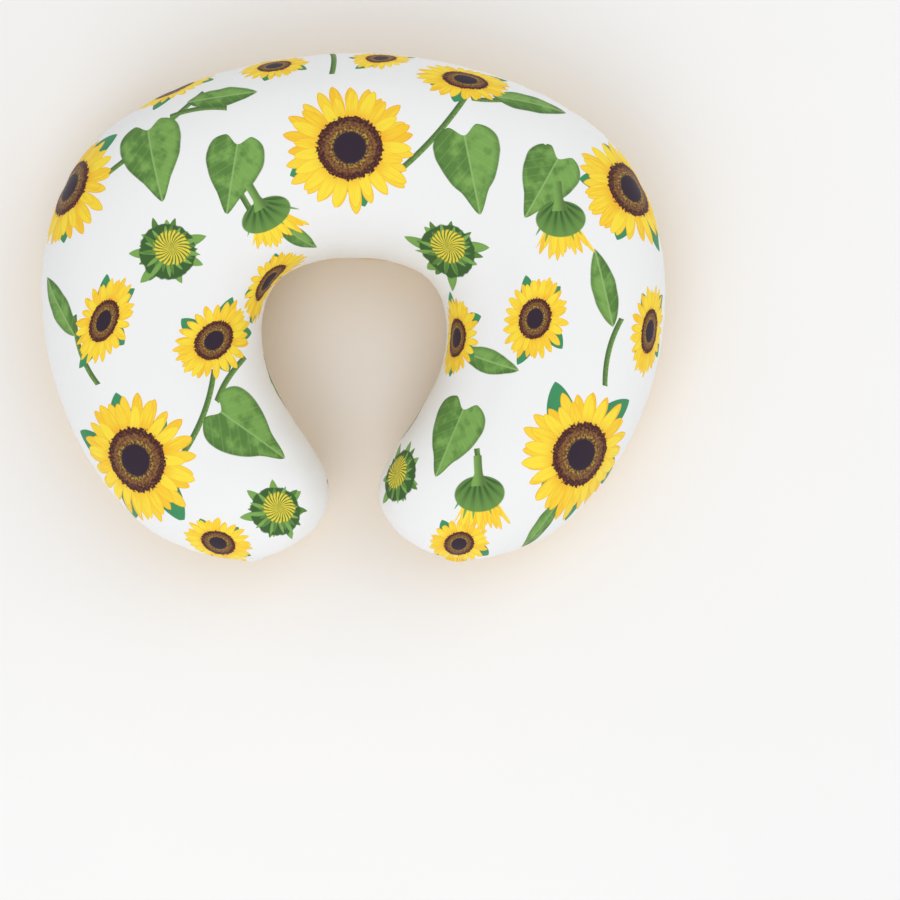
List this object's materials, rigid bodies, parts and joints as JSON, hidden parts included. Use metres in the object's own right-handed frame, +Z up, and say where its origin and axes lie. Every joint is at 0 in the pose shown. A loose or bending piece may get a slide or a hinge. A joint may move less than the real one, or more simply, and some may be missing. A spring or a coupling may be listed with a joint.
{
  "type": "nursing pillow",
  "caption": "C-shaped nursing pillow: a zipped cover with a sunflower-print top and a mustard plush underside over a sewn fibre-filled insert.",
  "frame": {"origin": "middle of the footprint, on the surface that the pillow rests on", "axes": "+X to the right of the C, +Y towards its closed top (the opening faces -Y), +Z up through the thickness, with the printed panel on top"},
  "size_m": [0.561, 0.453, 0.1501],
  "materials": {
    "printed_cotton": "smooth white woven cotton printed with sunflowers, buds and leaves",
    "plush": "short-pile mustard plush with a soft sheen",
    "thread": "twisted polyester sewing thread",
    "label": "blank satin tag",
    "zipper_tape": "white herringbone woven tape",
    "zipper_coil": "white nylon coil",
    "zipper_metal": "white painted die-cast zinc",
    "casing_fabric": "plain white non-woven casing",
    "fibre": "loose white polyester fibre"
  },
  "bodies": {
    "pillow": {"front_panel": "printed_cotton", "back_panel": "plush", "cover_seam_thread": "thread", "care_label": "label", "zipper_tape_front": "zipper_tape", "zipper_tape_back": "zipper_tape", "zipper_stitches_front": "thread", "zipper_stitches_back": "thread", "zipper_top_stop_front": "zipper_metal", "zipper_top_stop_back": "zipper_metal", "zipper_bottom_stop": "zipper_metal", "zipper_teeth_front": "zipper_coil", "zipper_teeth_back": "zipper_coil", "insert_casing_front": "casing_fabric", "insert_casing_back": "casing_fabric", "insert_seam_thread": "thread", "insert_closing_stitches": "thread", "insert_label": "label", "fibre_fill": "fibre"},
    "zipper_slider": {"slider_body": "zipper_metal"},
    "pull_tab": {"pull_tab": "zipper_metal"}
  },
  "joints": [
    {"name": "slider_travel", "type": "hinge", "parent": "pillow", "child": "zipper_slider", "pos_m": [0, -0.1795, 0.07375], "axis": [0, 0, 1], "range_deg": [0, 42.2], "deforming": ["zipper_teeth_front", "zipper_teeth_back"]},
    {"name": "tab_swing", "type": "hinge", "parent": "zipper_slider", "child": "pull_tab", "pos_m": [0.15508, 0.19344, 0.07375], "axis": [0, 0, -1], "range_deg": [0, 150]}
  ]
}
